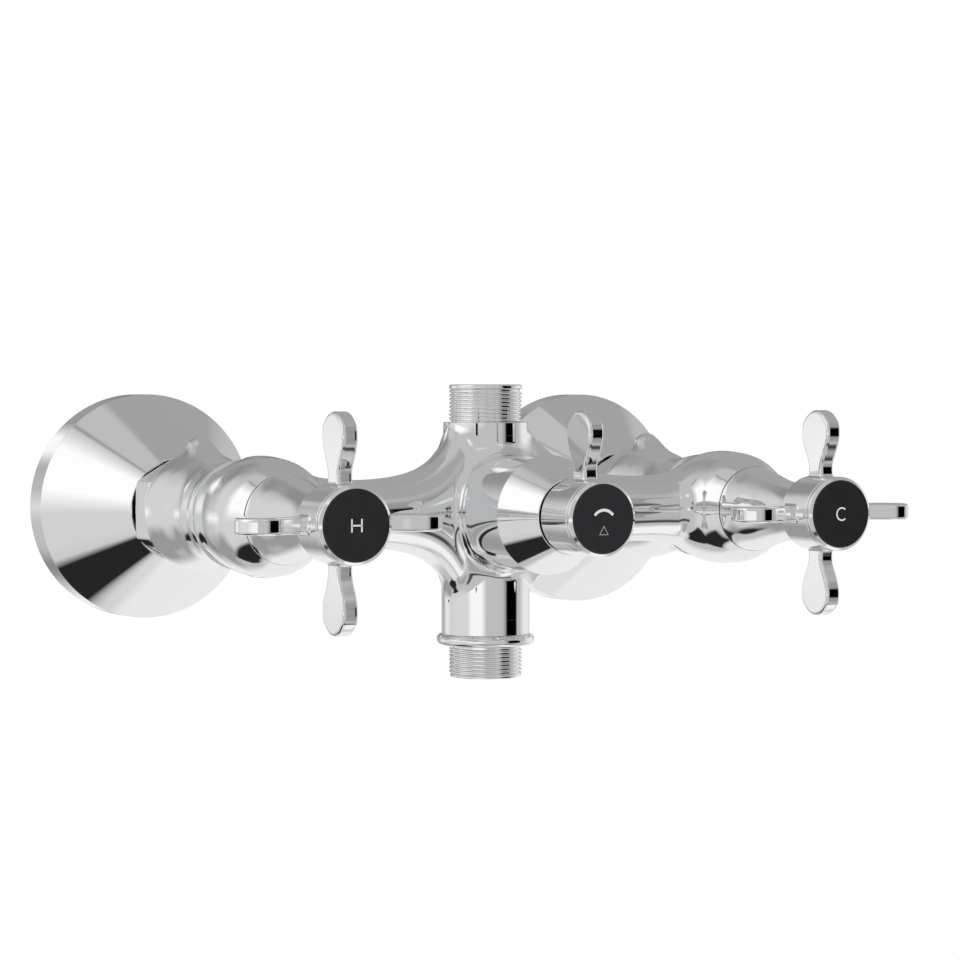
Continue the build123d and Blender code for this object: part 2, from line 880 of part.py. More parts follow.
def make_handle_screw(valve):
    """The socket-head screw that holds the handle on the spindle."""
    head_back = valve.well_floor
    head_front = head_back + screw_head
    with BuildPart() as screw:
        with BuildSketch(valve.plane):
            with BuildLine():
                Polyline(
                    (0, head_back - screw_length),
                    (screw_r, head_back - screw_length),
                    (screw_r, head_back),
                    (screw_head_r, head_back),
                    (screw_head_r, head_front - screw_edge),
                    (screw_head_r - screw_edge, head_front),
                    (0, head_front),
                    close=True,
                )
            make_face()
        revolve(axis=valve.axis)
        with BuildSketch(across(valve, head_front - screw_socket_depth)):
            RegularPolygon(radius=screw_socket / 2, side_count=6, major_radius=False)
        extrude(amount=screw_socket_depth, mode=Mode.SUBTRACT)
    finish(screw, f"{valve.name}_handle_screw")


os.makedirs("parts", exist_ok=True)

make_body()
make_top_nipple()
make_bottom_nipple()
for valve in inlets:
    make_wall_union(valve)
    make_flange(valve)
    make_union_nut(valve)
    make_union_washer(valve)
    make_inlet_neck(valve)
    make_neck_seal(valve)
    make_bell_bonnet(valve)
make_cone_bonnet(diverter)
for valve in valves:
    make_seat_seal(valve)
    make_fixed_disc(valve)
    make_moving_disc(valve)
    make_cartridge(valve)
    make_o_ring(valve)
    make_spindle(valve)
    make_handle(valve)
    make_index_ring(valve)
    make_index_cap(valve)
    make_handle_screw(valve)
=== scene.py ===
"""The looks of an exposed shower mixer: chromed casting, cross handles, black caps, studio."""

import json
from math import cos, hypot, pi, radians, sin, tan

import bpy
import numpy as np
from mathutils import Matrix, Vector


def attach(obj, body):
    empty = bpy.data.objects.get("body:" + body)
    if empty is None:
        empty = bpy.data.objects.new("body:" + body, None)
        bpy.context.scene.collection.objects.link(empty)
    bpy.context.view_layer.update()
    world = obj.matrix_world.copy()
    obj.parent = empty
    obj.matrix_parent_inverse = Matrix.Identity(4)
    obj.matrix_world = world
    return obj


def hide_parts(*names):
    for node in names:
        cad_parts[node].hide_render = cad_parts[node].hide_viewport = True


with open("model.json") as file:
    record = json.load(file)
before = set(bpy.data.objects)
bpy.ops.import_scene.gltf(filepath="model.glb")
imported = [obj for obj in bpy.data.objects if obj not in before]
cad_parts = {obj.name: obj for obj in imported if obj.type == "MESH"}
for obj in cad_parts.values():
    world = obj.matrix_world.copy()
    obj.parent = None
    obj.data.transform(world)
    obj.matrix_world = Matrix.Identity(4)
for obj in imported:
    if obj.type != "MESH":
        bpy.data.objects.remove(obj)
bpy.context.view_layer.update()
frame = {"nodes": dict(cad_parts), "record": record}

# All sizes are millimetres until a mesh is made. Reach is the distance out from the wall.
MM = 0.001
VALVE_X = 75.0
COLUMN_REACH = 84.1
ARM_REACH = 92.5
PROUD = 0.01

# How far a cast form stops short of the exact ring that finishes its end
SHORT, TOP_SHORT = 0.2, 0.3

# Grid steps of the cast pieces
BODY_STEP, NECK_STEP, NUT_STEP, HANDLE_STEP = 0.7, 0.5, 0.42, 0.36

# Threads: crest and root radius, then pitch and ridge of the outlets' thread and of the wall's
THREAD_R, THREAD_ROOT_R = 10.48, 9.86
OUTLET_PITCH, OUTLET_RIDGE, WALL_PITCH, WALL_RIDGE = 1.12, 0.42, 1.814, 0.62
THREAD_TAPER = 30.0

# Inlet side: wall unions, flanges, nuts and necks
UNION_R, UNION_BORE_R, UNION_FACE, UNION_TAIL = 12.0, 7.5, 40.0, 14.0
FLANGE_R, FLANGE_RIM, FLANGE_NOSE_R, FLANGE_NOSE, FLANGE_WALL = 33.5, 9.6, 15.0, 35.0, 1.2
NUT_FLATS, NUT_BACK, NUT_FRONT, NUT_LIP, NUT_CHAMFER = 28.6, 36.7, 48.0, 3.4, 1.6
NECK_BACK, NECK_SHANK_R, NECK_EDGE = 48.1, 10.2, 3.6
NECK_CURVE = (
    (46.0, 17.0), (51.7, 17.2), (59.0, 15.9), (67.0, 14.0), (74.0, 14.25), (80.4, 15.2), (84.0, 15.6),
)
COLLAR_BACK = 80.0
LUG_REACH, LUG_TOP, LUG_TIP_R, LUG_ANGLE = 50.5, 21.4, 2.8, 34.0
LUG_HALF_WIDTH, LUG_FILLET, LUG_FOOT = 3.6, 3.6, 6
LUG_CONE_DROP, LUG_CROWN, LUG_RIM_EDGE, LUG_SIDE_EDGE = 0.8, 9.2, 0.7, 0.5
NECK_SHANK_MIDDLE, NECK_SHANK_HALF = 50, 8
NUT_CORNER_CLEAR_R = 16.85
NUT_SLOPE, NUT_EDGE, NUT_END_EDGE, NUT_BORE_EDGE = 2, 0.5, 0.25, 0.2
UNION_PLAY, SHANK_PLAY, NOSE_PLAY = 0.08, 0.3, 0.3
# Painted shade on the wall unions: half width and soft edge of the dark band painted into the gap between
# a flange's nose and its nut
PAINTED_SHADE_HALF, PAINTED_SHADE_SOFT = 1.3, 0.2
SEAM = 82.4

# Casting: the box that its grid fills, and its sizes
BODY_BOX = ((-93, -122.5, -37), (93, -69.5, 27))
COLUMN_R, COLUMN_TOP_R, COLUMN_TOP, COLUMN_BOTTOM = 12.67, 12.15, 25.5, -35.6
TAPER_START, TAPER_END = 8.0, 25.0
HOUSING_CURVE = (
    (80.0, 14.9), (84.2, 15.2), (90.5, 16.05), (97.0, 16.4),
    (103.5, 15.85), (107.3, 14.6), (111.0, 12.4), (114.0, 10.2),
)
HOUSING_FRONT = 111.0
DIVERTER_R, DIVERTER_FRONT = 16.2, 120.7
ARM_R, FLARE_HEIGHT, FLARE_DEPTH = 9.2, 13.0, 1.6
FLARE_LENGTH, FLARE_POWER, FLARE_REACH = 9.5, 1.1, 86.2
SWELL_HEIGHT, SWELL_DEPTH, SWELL_LENGTH = 5.2, 3.0, 15.0
COLUMN_FILLET, ARM_FILLET, HOUSING_FILLET = 4.0, 3.0, 4.0
SEAM_X, BORE_STOP = 40, 4.0

# Outlets: bore, shank in the column, bead and ends
OUTLET_BORE_R, SHANK_R, SHANK_LENGTH = 6.0, 9.3, 10.9
BEAD_R, BEAD_HEIGHT, TOP_END, BOTTOM_END = 14.1, 3.2, 36.3, -48.0
TOP_THREAD, BOTTOM_THREAD = 8.9, 8.2

# Bonnets
BELL_FRONT, CONE_FRONT = 141.4, 134.1
BONNET_BORE_R, SPINDLE_BORE_R = 9.0, 6.3
BELL_RIM_R, BELL_GROOVE_R, BELL_NOSE_R = 12.36, 11.7, 8.1
CONE_RIM_R, CONE_RIM, CONE_NOSE_R = 16.6, 1.0, 10.5

# Handles
CROSS_BACK, CROSS_FACE, LEVER_BACK, LEVER_FACE = 140.0, 154.7, 135.0, 151.2
HUB_R, HUB_BORE_R, HUB_POCKET_R, SCREW_BORE_R = 10.4, 3.6, 8.7, 4.4
HUB_FRONT, RIM_BACK, RIM_FRONT, RIM_BORE_R, RIM_STEP = 2.35, 2.2, 0.3, 8.0, 0.55
CAP_R, CAP_GAP, CAP_THICKNESS = 9.35, 0.01, 1.2
EAR_LOBE, EAR_LOBE_R, EAR_HALF_NECK = 22.75, 6.25, 3.05
EAR_HALF_THICKNESS, EAR_EDGE, EAR_WAIST = 2.25, 0.9, 4.6
EAR_BEHIND, EAR_ROOT, EAR_ROOT_SLOPE, EAR_FILLET, CORE_HALF = 10.0, 12.5, 0.1, 0.7, 4.0

# Marks on the caps: how wide they are, how deep they start and how high they stand
LETTER_STROKE, BOW_STROKE, WEDGE_STROKE = 0.42, 0.75, 0.22
MARK_SUNK, MARK_PROUD = 0.02, 0.025


# Turned pieces


def winding(outline):
    """Above 0 for an outline that runs against the clock."""
    ahead = np.roll(outline, -1, 0)
    return (outline[:, 0] * ahead[:, 1] - ahead[:, 0] * outline[:, 1]).sum()


def eased(corners, closed=True, steps=6):
    """The outline through (radius, place, ease) corners, with its outward normals.

    An ease above 0 rounds its corner with that radius. An ease of 0 is a point of a curve.
    """
    points = [np.array(c[:2], float) for c in corners]
    count = len(points)
    side = 1.0 if winding(np.array(points)) > 0 else -1.0
    places, normals = [], []
    for i, (point, corner) in enumerate(zip(points, corners)):
        ahead = points[(i + 1) % count] - point
        behind = point - points[i - 1]
        if not closed and i == 0:
            behind = ahead
        if not closed and i == count - 1:
            ahead = behind
        out_a = side * np.array((behind[1], -behind[0])) / np.hypot(*behind)
        out_b = side * np.array((ahead[1], -ahead[0])) / np.hypot(*ahead)
        bend = np.arccos(np.clip(out_a @ out_b, -1, 1))
        if corner[2] == 0 or bend < 1e-3:
            places.append(point)
            normals.append((out_a + out_b) / np.hypot(*(out_a + out_b)))
            continue
        trim = min(corner[2] * tan(bend / 2), 0.45 * np.hypot(*behind), 0.45 * np.hypot(*ahead))
        start = point - behind / np.hypot(*behind) * trim
        end = point + ahead / np.hypot(*ahead) * trim
        inward = start + end - 2 * point
        centre = (start + end) / 2
        if bend < pi - 1e-3:
            centre = point + inward / np.hypot(*inward) * trim / sin(bend / 2)
        for step in range(steps + 1):
            share = step / steps
            out = (sin((1 - share) * bend) * out_a + sin(share * bend) * out_b) / sin(bend)
            spoke = sin((1 - share) * bend) * (start - centre) + sin(share * bend) * (end - centre)
            places.append(centre + spoke / sin(bend))
            normals.append(out)
    return np.array(places), np.array(normals)


def new_object(name, vertices, faces, normals=None):
    """A mesh object at the origin from places in millimetres."""
    mesh = bpy.data.meshes.new(name)
    mesh.from_pydata((np.asarray(vertices) * MM).tolist(), [], faces)
    mesh.validate()
    mesh.polygons.foreach_set("use_smooth", np.ones(len(mesh.polygons), bool))
    if normals is not None:
        mesh.normals_split_custom_set_from_vertices(np.asarray(normals).tolist())
    mesh.update()
    piece = bpy.data.objects.new(name, mesh)
    bpy.context.scene.collection.objects.link(piece)
    return piece


def on_axis(x):
    """The seat of a piece turned about a handle's axis: origin, two spokes, axis."""
    return np.array(((x, 0, 0), (1, 0, 0), (0, 0, 1), (0, -1, 0)), float)


def on_column():
    """The seat of a piece turned about the column."""
    return np.array(((0, -COLUMN_REACH, 0), (1, 0, 0), (0, 1, 0), (0, 0, 1)), float)


def turned(name, corners, seat, closed=True, segments=144):
    """A solid of revolution. An open outline starts and ends on the axis."""
    outline, slopes = eased(corners, closed)
    origin, spoke_a, spoke_b, axis = seat
    angles = np.arange(segments) * 2 * pi / segments
    around = np.cos(angles)[:, None] * spoke_a + np.sin(angles)[:, None] * spoke_b
    vertices, normals, rings = [], [], []
    for (radius, place), (out, along) in zip(outline, slopes):
        if radius < 1e-6:
            rings.append([len(vertices)] * segments)
            vertices.append(origin + place * axis)
            normals.append(np.sign(along) * axis)
            continue
        rings.append(list(range(len(vertices), len(vertices) + segments)))
        vertices.extend(origin + place * axis + radius * around)
        normals.extend(out * around + along * axis)
    faces = []
    pairs = list(zip(rings, rings[1:])) + ([(rings[-1], rings[0])] if closed else [])
    order = 1 if winding(outline) > 0 else -1
    for low, high in pairs:
        for i in range(segments):
            j = (i + 1) % segments
            face = list(dict.fromkeys((low[i], low[j], high[j], high[i])))
            if len(face) > 2:
                faces.append(face[::order])
    return new_object(name, vertices, faces, normals)


# Cast pieces, from distance fields


def round_union(a, b, radius):
    """Two forms joined with a fillet."""
    near = np.hypot(np.maximum(radius - a, 0), np.maximum(radius - b, 0))
    return np.maximum(radius, np.minimum(a, b)) - near


def round_meet(a, b, radius):
    """What two forms have in common, with its edge rounded."""
    near = np.hypot(np.maximum(radius + a, 0), np.maximum(radius + b, 0))
    return np.minimum(-radius, np.maximum(a, b)) + near


class Curve:
    """A smooth curve of radius over reach through (reach, radius) points, and its slope."""

    def __init__(self, points):
        place, value = np.array(points, float).T
        slope = np.gradient(value, place)
        self.places = np.linspace(place[0], place[-1], 2000)
        cell = np.clip(np.searchsorted(place, self.places) - 1, 0, len(place) - 2)
        width = place[cell + 1] - place[cell]
        t = (self.places - place[cell]) / width
        self.values = (
            (2 * t**3 - 3 * t**2 + 1) * value[cell]
            + (t**3 - 2 * t**2 + t) * width * slope[cell]
            + (3 * t**2 - 2 * t**3) * value[cell + 1]
            + (t**3 - t**2) * width * slope[cell + 1]
        )
        self.slopes = np.gradient(self.values, self.places)

    def __call__(self, place):
        return np.interp(place, self.places, self.values)

    def distance(self, radius, place):
        """How far a point stands outside the surface turned from this curve."""
        return (radius - self(place)) / np.sqrt(1 + np.interp(place, self.places, self.slopes) ** 2)


def net(field, low, high, step):
    """Vertices and quads of a field's surface, one vertex in each cell it crosses."""
    axes = [np.arange(a, b + step, step) for a, b in zip(low, high)]
    grid = np.stack(np.meshgrid(*axes, indexing="ij"), -1)
    value = field(grid.reshape(-1, 3)).reshape(grid.shape[:3])
    size = [n - 1 for n in value.shape]

    def corner(i, j, k):
        return tuple(slice(o, o + n) for o, n in zip((i, j, k), size))

    corners = [(i, j, k) for i in (0, 1) for j in (0, 1) for k in (0, 1)]
    filled = sum((value[corner(*c)] < 0).astype(np.int8) for c in corners)
    active = (filled > 0) & (filled < 8)
    number = np.full(active.shape, -1)
    number[active] = np.arange(active.sum())
    total = np.zeros((active.sum(), 3))
    hits = np.zeros(active.sum())
    for c in corners:
        for axis in range(3):
            if c[axis]:
                continue
            d = list(c)
            d[axis] = 1
            a, b = value[corner(*c)][active], value[corner(*d)][active]
            crossed = (a < 0) != (b < 0)
            share = np.where(crossed, a / np.where(crossed, a - b, 1), 0)
            start = grid[corner(*c)][active]
            start[:, axis] += share * step
            total += np.where(crossed[:, None], start, 0)
            hits += crossed
    vertices = total / hits[:, None]
    faces = []
    for axis in range(3):
        u, v = [a for a in range(3) if a != axis]
        near = [slice(None)] * 3
        far = [slice(None)] * 3
        near[axis], far[axis] = slice(0, -1), slice(1, None)
        a, b = value[tuple(near)] < 0, value[tuple(far)] < 0
        edges = np.argwhere(a != b)
        leaving = a[tuple(edges.T)]
        inner = (edges[:, (u, v)] > 0).all(1) & (edges[:, u] < size[u]) & (edges[:, v] < size[v])
        edges, leaving = edges[inner], leaving[inner]
        ring = []
        for du, dv in ((1, 1), (0, 1), (0, 0), (1, 0)):
            cell = edges.copy()
            cell[:, u] -= du
            cell[:, v] -= dv
            ring.append(number[tuple(cell.T)])
        quads = np.stack(ring, 1)
        flip = leaving if axis != 1 else ~leaving
        faces.append(np.where(flip[:, None], quads, quads[:, ::-1]))
    return vertices, np.concatenate(faces)


def gradient(field, points, reach=0.04):
    """The field's slope at each point."""
    slopes = []
    for axis in range(3):
        step = np.zeros(3)
        step[axis] = reach
        slopes.append((field(points + step) - field(points - step)) / (2 * reach))
    return np.stack(slopes, 1)


def settle(field, points, rounds=4):
    """Points moved onto the field's surface."""
    for _ in range(rounds):
        slope = gradient(field, points)
        length = np.maximum((slope**2).sum(1), 0.05)
        move = (field(points) / length)[:, None] * slope
        points = points - np.clip(move, -0.5, 0.5)
    return points


def relaxed(points, faces):
    """Points moved halfway to the middle of their neighbours."""
    total = np.zeros_like(points)
    count = np.zeros(len(points))
    for a, b in ((0, 1), (1, 2), (2, 3), (3, 0)):
        for i, j in ((faces[:, a], faces[:, b]), (faces[:, b], faces[:, a])):
            np.add.at(total, i, points[j])
            np.add.at(count, i, 1)
    return (points + total / np.maximum(count, 1)[:, None]) / 2


def cast(name, field, low, high, step):
    """A smooth closed piece from a distance field in millimetres."""
    points, faces = net(field, low, high, step)
    for _ in range(3):
        points = settle(field, relaxed(points, faces), 2)
    points = settle(field, points)
    normals = gradient(field, points)
    normals /= np.linalg.norm(normals, axis=1)[:, None]
    return new_object(name, points, faces.tolist(), normals)


# The body


housing_curve = Curve(HOUSING_CURVE)
neck_curve = Curve(NECK_CURVE)


def column_radius(height):
    """The column's radius, drawn in a little towards its top."""
    share = np.clip((np.asarray(height, float) - TAPER_START) / (TAPER_END - TAPER_START), 0, 1)
    return COLUMN_R - (COLUMN_R - COLUMN_TOP_R) * share**2 * (3 - 2 * share)


def body_field(p):
    """Column, diverter housing, flared arms and valve housings, filleted together."""
    x, reach, z = np.abs(p[:, 0]), -p[:, 1], p[:, 2]
    column = np.hypot(x, reach - COLUMN_REACH) - column_radius(z)
    column = np.maximum(column, np.maximum(z - COLUMN_TOP + TOP_SHORT, COLUMN_BOTTOM + SHORT - z))
    diverter = np.hypot(x, z) - DIVERTER_R
    diverter = np.maximum(diverter, np.maximum(reach - DIVERTER_FRONT + SHORT, COLUMN_REACH - reach))
    near = np.exp(-((np.maximum(x - COLUMN_R, 0) / FLARE_LENGTH) ** FLARE_POWER))
    swell = np.exp(-(((VALVE_X - x) / SWELL_LENGTH) ** 2))
    height = ARM_R + FLARE_HEIGHT * near + SWELL_HEIGHT * swell
    depth = ARM_R + FLARE_DEPTH * near + SWELL_DEPTH * swell
    middle = ARM_REACH - (ARM_REACH - FLARE_REACH) * near
    oval = np.hypot(z / height, (reach - middle) / depth)
    arm = (oval - 1) * oval / np.maximum(np.hypot(z / height**2, (reach - middle) / depth**2), 1e-3)
    arm = np.maximum(arm, x - VALVE_X)
    housing = housing_curve.distance(np.hypot(x - VALVE_X, z), reach)
    housing = np.maximum(housing, np.maximum(SEAM + SHORT - reach, reach - HOUSING_FRONT + SHORT))
    form = round_union(column, diverter, COLUMN_FILLET)
    form = round_union(form, arm, ARM_FILLET)
    form = round_union(form, housing, HOUSING_FILLET)
    form = np.maximum(form, np.where(x > SEAM_X, SEAM + SHORT - reach, -1e3))
    bore = np.hypot(x, reach - COLUMN_REACH) - OUTLET_BORE_R
    return np.maximum(form, -np.maximum(bore, BORE_STOP - np.abs(z)))


def band(curve, start, end, ease, inner):
    """A thin ring over the end of a cast form, with a crisp eased edge at each end."""
    places = np.linspace(start, end, 8)
    corners = [(inner, start, 0.1)]
    corners += [(float(curve(s)) + PROUD, s, 0) for s in places]
    low, high = ease
    corners[1] = (*corners[1][:2], low)
    corners[-1] = (*corners[-1][:2], high)
    return corners + [(inner, end, 0.1)]


def make_body():
    """The casting and the exact rings at its seams."""
    # Seat, radius at a place, start, end, ease of each edge, inner radius
    rings = [
        (on_column(), column_radius, 21.6, COLUMN_TOP, (0.02, 0.5), 9.5),
        (on_column(), column_radius, COLUMN_BOTTOM, -31.0, (0.2, 0.02), 9.5),
    ]
    for x in (-VALVE_X, VALVE_X):
        rings.append((on_axis(x), housing_curve, SEAM, 84.2, (0.35, 0.02), 11))
        rings.append((on_axis(x), housing_curve, 107.5, HOUSING_FRONT, (0.02, 0.12), 9.8))
    rings.append((on_axis(0), lambda s: DIVERTER_R, 116.5, DIVERTER_FRONT, (0.02, 0.2), 11.2))
    pieces = [cast("body_casting", body_field, *BODY_BOX, BODY_STEP)]
    pieces += [turned("ring", band(*ring), seat) for seat, *ring in rings]
    return joined(pieces)


def joined(pieces):
    """The pieces as one object that keeps the first one's name and every normal."""
    bpy.ops.object.select_all(action="DESELECT")
    for piece in pieces:
        piece.select_set(True)
    bpy.context.view_layer.objects.active = pieces[0]
    bpy.ops.object.join()
    return pieces[0]


# Inlet side


def neck_field(x0):
    """The bulb in front of a nut, with the lug on top."""

    def field(p):
        x, reach, z = p[:, 0] - x0, -p[:, 1], p[:, 2]
        radius = np.hypot(x, z)
        bulb = round_meet(neck_curve.distance(radius, reach), NECK_BACK - reach, NECK_EDGE)
        bulb = np.maximum(bulb, reach - SEAM + SHORT)
        spread = np.hypot(x, reach - LUG_REACH)
        slope = radians(LUG_ANGLE)
        cone = (spread - LUG_TIP_R - tan(slope) * (LUG_TOP - LUG_CONE_DROP - z)) * cos(slope)
        lug = round_meet(cone, z - LUG_TOP + spread**2 / LUG_CROWN, LUG_RIM_EDGE)
        lug = round_meet(lug, np.abs(x) - LUG_HALF_WIDTH, LUG_SIDE_EDGE)
        lug = np.maximum(lug, LUG_FOOT - z)
        shank = np.maximum(radius - NECK_SHANK_R, np.abs(reach - NECK_SHANK_MIDDLE) - NECK_SHANK_HALF)
        form = round_union(bulb, lug, LUG_FILLET)
        form = np.maximum(form, np.minimum(NECK_BACK - reach, NUT_CORNER_CLEAR_R - radius))
        return np.minimum(form, shank)

    return field


def nut_field(x0):
    """A hexagon with chamfered ends, flats to the sides, bored for the neck and union."""

    def field(p):
        x, reach, z = p[:, 0] - x0, -p[:, 1], p[:, 2]
        radius = np.hypot(x, z)
        third = cos(radians(30))
        sides = [np.abs(x), np.abs(x / 2 + z * third), np.abs(x / 2 - z * third)]
        sides = [side - NUT_FLATS / 2 for side in sides]
        hexagon = round_meet(round_meet(sides[0], sides[1], NUT_EDGE), sides[2], NUT_EDGE)
        corner = NUT_FLATS / 2 / third
        end = np.abs(reach - (NUT_BACK + NUT_FRONT) / 2) - (NUT_FRONT - NUT_BACK) / 2
        cone = (radius - corner + NUT_CHAMFER + NUT_SLOPE * end) / hypot(1, NUT_SLOPE)
        form = round_meet(round_meet(hexagon, cone, NUT_END_EDGE), end, NUT_END_EDGE)
        behind_lip = reach < NUT_FRONT - NUT_LIP
        bore = radius - np.where(behind_lip, UNION_R + UNION_PLAY, NECK_SHANK_R + SHANK_PLAY)
        return round_meet(form, -bore, NUT_BORE_EDGE)

    return field


def make_flange(x0):
    """The spun wall flange: rim, straight cone, nose."""
    run = FLANGE_NOSE - FLANGE_RIM
    fall = (FLANGE_R - FLANGE_NOSE_R) / run
    inset = FLANGE_WALL * hypot(FLANGE_R - FLANGE_NOSE_R, run) / run
    inner = FLANGE_R - FLANGE_WALL
    floor = FLANGE_NOSE - FLANGE_WALL
    corners = (
        (inner, 0.0, 0.2),
        (FLANGE_R, 0.0, 0.3),
        (FLANGE_R, FLANGE_RIM, 0.35),
        (FLANGE_NOSE_R, FLANGE_NOSE, 0.3),
        (UNION_R + NOSE_PLAY, FLANGE_NOSE, 0.2),
        (UNION_R + NOSE_PLAY, floor, 0.1),
        (FLANGE_R - inset - fall * (floor - FLANGE_RIM), floor, 0.3),
        (inner, FLANGE_RIM + (FLANGE_WALL - inset) / fall, 0.3),
    )
    return turned("flange", corners, on_axis(x0), segments=192)


# Threads, wound by geometry nodes


class Maths:
    """A shader or geometry socket that takes Python's operators."""

    def __init__(self, tree, socket):
        self.tree = tree
        self.socket = socket

    def _math(self, operation, *values):
        return node(self.tree, "ShaderNodeMath", {"operation": operation}, *values)

    def __add__(self, other):
        return self._math("ADD", self, other)

    def __sub__(self, other):
        return self._math("SUBTRACT", self, other)

    def __mul__(self, other):
        return self._math("MULTIPLY", self, other)

    def __truediv__(self, other):
        return self._math("DIVIDE", self, other)

    def __rsub__(self, other):
        return self._math("SUBTRACT", other, self)

    def __abs__(self):
        return self._math("ABSOLUTE", self)

    __radd__ = __add__
    __rmul__ = __mul__


def node(tree, kind, settings, *values, out=0, **named):
    """A node of that type: settings first, then its sockets' values or links."""
    made = tree.nodes.new(kind)
    for key, value in settings.items():
        if key == "stops":
            ramp = made.color_ramp
            while len(ramp.elements) < len(value):
                ramp.elements.new(0.5)
            for element, (place, colour) in zip(ramp.elements, value):
                element.position = place
                element.color = colour
            continue
        setattr(made, key, value)
    by_name = {name.replace("_", " "): value for name, value in named.items()}
    for key, value in list(enumerate(values)) + list(by_name.items()):
        if value is None:
            continue
        socket = made.inputs[key]
        if isinstance(value, Maths):
            tree.links.new(value.socket, socket)
        else:
            socket.default_value = value
    return Maths(tree, made.outputs[out]) if made.outputs else made


def clamped(value, extra=0.0):
    """A value plus another, held between 0 and 1."""
    return node(value.tree, "ShaderNodeMath", {"operation": "ADD", "use_clamp": True}, value, extra)


def thread_tree():
    """A helical ridge of rounded section, thinned out at both ends."""
    tree = bpy.data.node_groups.new("wound thread", "GeometryNodeTree")
    for name, kind in (
        ("Radius", "NodeSocketFloat"), ("Pitch", "NodeSocketFloat"), ("Length", "NodeSocketFloat"),
        ("Ridge", "NodeSocketFloat"), ("Finish", "NodeSocketMaterial"),
    ):
        tree.interface.new_socket(name, in_out="INPUT", socket_type=kind)
    tree.interface.new_socket("Geometry", in_out="OUTPUT", socket_type="NodeSocketGeometry")
    given = tree.nodes.new("NodeGroupInput")
    radius, pitch, length, ridge, material = [Maths(tree, given.outputs[i]) for i in range(5)]
    spiral = node(
        tree, "GeometryNodeCurveSpiral", {}, Resolution=72, Rotations=length / pitch,
        Start_Radius=radius, End_Radius=radius, Height=length,
    )
    share = node(tree, "GeometryNodeSplineParameter", {})
    ends = 0.5 - abs(share - 0.5)
    thin = node(tree, "ShaderNodeMath", {"operation": "MINIMUM"}, ends * THREAD_TAPER, 1.0)
    spiral = node(tree, "GeometryNodeSetCurveRadius", {}, Curve=spiral, Radius=thin)
    section = node(tree, "GeometryNodeCurvePrimitiveCircle", {}, Resolution=8, Radius=ridge)
    wound = node(tree, "GeometryNodeCurveToMesh", {}, Curve=spiral, Profile_Curve=section, Fill_Caps=True)
    wound = node(tree, "GeometryNodeSetShadeSmooth", {}, Geometry=wound)
    real = node(tree, "GeometryNodeRealizeInstances", {}, wound)
    done = node(tree, "GeometryNodeSetMaterial", {}, Geometry=real, Material=material)
    end = tree.nodes.new("NodeGroupOutput")
    tree.links.new(done.socket, end.inputs[0])
    return tree


wound_thread = thread_tree()


def make_thread(name, seat, start, length, pitch, material, ridge=OUTLET_RIDGE):
    """A thread from start along the seat's axis, its crests at the pipe thread's radius."""
    holder = new_object(name, [(0, 0, 0)], [])
    tool = holder.modifiers.new("thread", "NODES")
    tool.node_group = wound_thread
    sizes = {
        "Radius": (THREAD_R - ridge) * MM, "Pitch": pitch * MM, "Length": length * MM,
        "Ridge": ridge * MM, "Finish": material,
    }
    for item in wound_thread.interface.items_tree:
        if item.in_out == "INPUT":
            tool[item.identifier] = sizes[item.name]
    shown = holder.evaluated_get(bpy.context.evaluated_depsgraph_get())
    mesh = bpy.data.meshes.new_from_object(shown)
    holder.modifiers.remove(tool)
    origin, spoke_a, spoke_b, axis = seat
    place = Matrix([[*row, 0] for row in np.stack((spoke_a, spoke_b, axis), 1).tolist()] + [[0, 0, 0, 1]])
    place.translation = Vector((origin + start * axis) * MM)
    mesh.transform(place)
    holder.data = mesh
    return holder


def make_top_nipple(material):
    """The upper outlet: a threaded stub with a plain band at its end."""
    start, end = COLUMN_TOP, TOP_END
    corners = (
        (OUTLET_BORE_R, start - SHANK_LENGTH, 0.2), (SHANK_R, start - SHANK_LENGTH, 0.2),
        (SHANK_R, start, 0.1), (THREAD_ROOT_R, start + 0.02, 0.05), (THREAD_ROOT_R, end - 1.5, 0.2),
        (THREAD_R, end - 1.2, 0.2), (THREAD_R, end, 0.5), (OUTLET_BORE_R, end, 0.3),
    )
    stub = turned("top_nipple", corners, on_column())
    thread = make_thread("top_thread", on_column(), start + 0.3, TOP_THREAD, OUTLET_PITCH, material)
    return stub, thread


def make_bottom_nipple(material):
    """The lower outlet: a beaded flange above a threaded stub."""
    top, under, end, end_r = COLUMN_BOTTOM, COLUMN_BOTTOM - BEAD_HEIGHT, BOTTOM_END, THREAD_R - 0.25
    corners = (
        (OUTLET_BORE_R, top + SHANK_LENGTH, 0.2), (SHANK_R, top + SHANK_LENGTH, 0.2),
        (SHANK_R, top, 0.1), (BEAD_R, top, 1.55), (BEAD_R, under, 1.55), (THREAD_ROOT_R, under, 0.15),
        (THREAD_ROOT_R, end + 0.9, 0.1), (end_r, end + 0.5, 0.15), (end_r, end, 0.3),
        (OUTLET_BORE_R, end, 0.3),
    )
    stub = turned("bottom_nipple", corners, on_column())
    thread = make_thread("bottom_thread", on_column(), end + 0.8, BOTTOM_THREAD, OUTLET_PITCH, material)
    return stub, thread


def make_wall_union(x0, material):
    """The connector behind a flange, with its pipe thread into the wall."""
    corners = (
        (UNION_BORE_R, -UNION_TAIL, 0.4), (THREAD_ROOT_R, -UNION_TAIL, 0.5), (THREAD_ROOT_R, -0.6, 0.2),
        (THREAD_R - 0.1, 0.0, 0.1), (UNION_R, 0.0, 0.3), (UNION_R, UNION_FACE, 0.3),
        (UNION_BORE_R, UNION_FACE, 0.2),
    )
    stub = turned("wall_union", corners, on_axis(x0), segments=96)
    start, length = 0.6 - UNION_TAIL, UNION_TAIL - 1.6
    thread = make_thread("wall_thread", on_axis(x0), start, length, WALL_PITCH, material, WALL_RIDGE)
    return stub, thread


# Bonnets and handles


